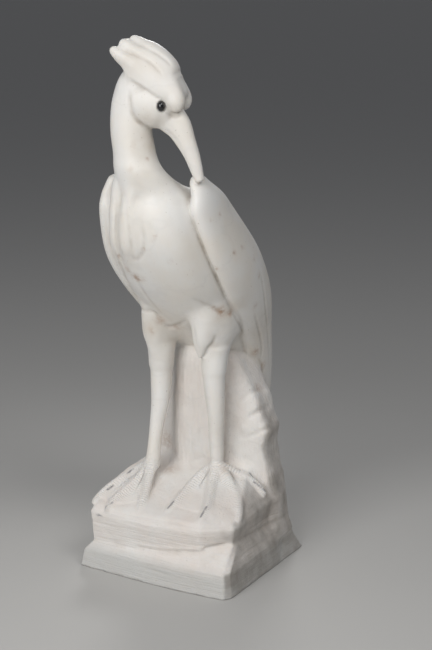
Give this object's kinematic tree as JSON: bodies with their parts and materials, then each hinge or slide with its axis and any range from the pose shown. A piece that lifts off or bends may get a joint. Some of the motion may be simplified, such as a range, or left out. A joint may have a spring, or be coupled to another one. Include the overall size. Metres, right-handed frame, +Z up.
{
  "type": "heron sculpture",
  "caption": "Carved stone heron standing upright with its bill turned down to its shoulder, backed by a rock that rises from a rough plinth of the same block.",
  "frame": {"origin": "centre of the object's bounding box, at the level of the plinth's underside", "axes": "+Z up, the bird's breast and toes face -Y, +X is the bird's left"},
  "size_m": [0.182, 0.2196, 0.5527],
  "materials": {
    "stone": "white marble, satin polished on the bird and finely chiselled on the plinth",
    "bead": "polished black"
  },
  "bodies": {
    "root": {"heron_figure": "stone", "eye_right": "bead", "eye_left": "bead"}
  },
  "joints": []
}
